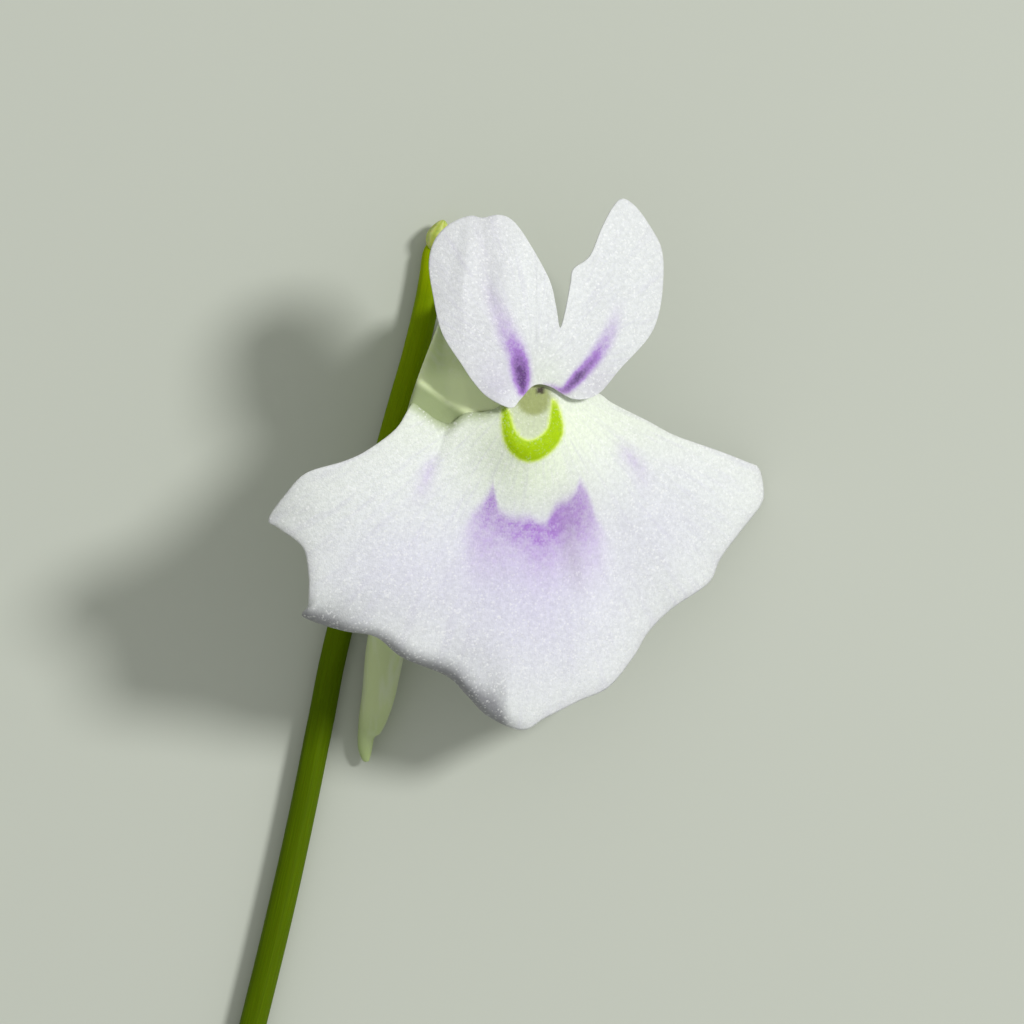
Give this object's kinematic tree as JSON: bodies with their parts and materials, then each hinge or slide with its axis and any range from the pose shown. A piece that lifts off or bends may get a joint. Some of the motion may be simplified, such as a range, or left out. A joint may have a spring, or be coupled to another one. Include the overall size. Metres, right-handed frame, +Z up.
{
  "type": "bladderwort flower",
  "caption": "Small white and lilac bladderwort flower with a two-lobed upper lip, a broad fan-shaped lower lip and a slender spur, on its thin cut stem, lying down.",
  "frame": {"origin": "bottom centre of the whole, on the surface that the flower lies on", "axes": "+Y along the stem towards the flower, +X to the right of the flower's face, +Z up from the surface, which the face looks to"},
  "size_m": [0.0118, 0.0216, 0.0052],
  "materials": {
    "petal_white": "thin translucent petal, satin",
    "spur_petal": "thin translucent petal with a green tinge, satin",
    "stem_green": "smooth waxy plant stem",
    "leaf_green": "soft green leaf",
    "bud_green": "soft yellow-green bud"
  },
  "bodies": {
    "root": {"stem": "stem_green", "top_bud": "bud_green", "bract": "leaf_green", "flower_stalk": "stem_green", "upper_sepal": "leaf_green", "lower_sepal": "leaf_green", "tube_and_spur": "spur_petal", "upper_lip": "petal_white", "lower_lip": "petal_white"}
  },
  "joints": []
}
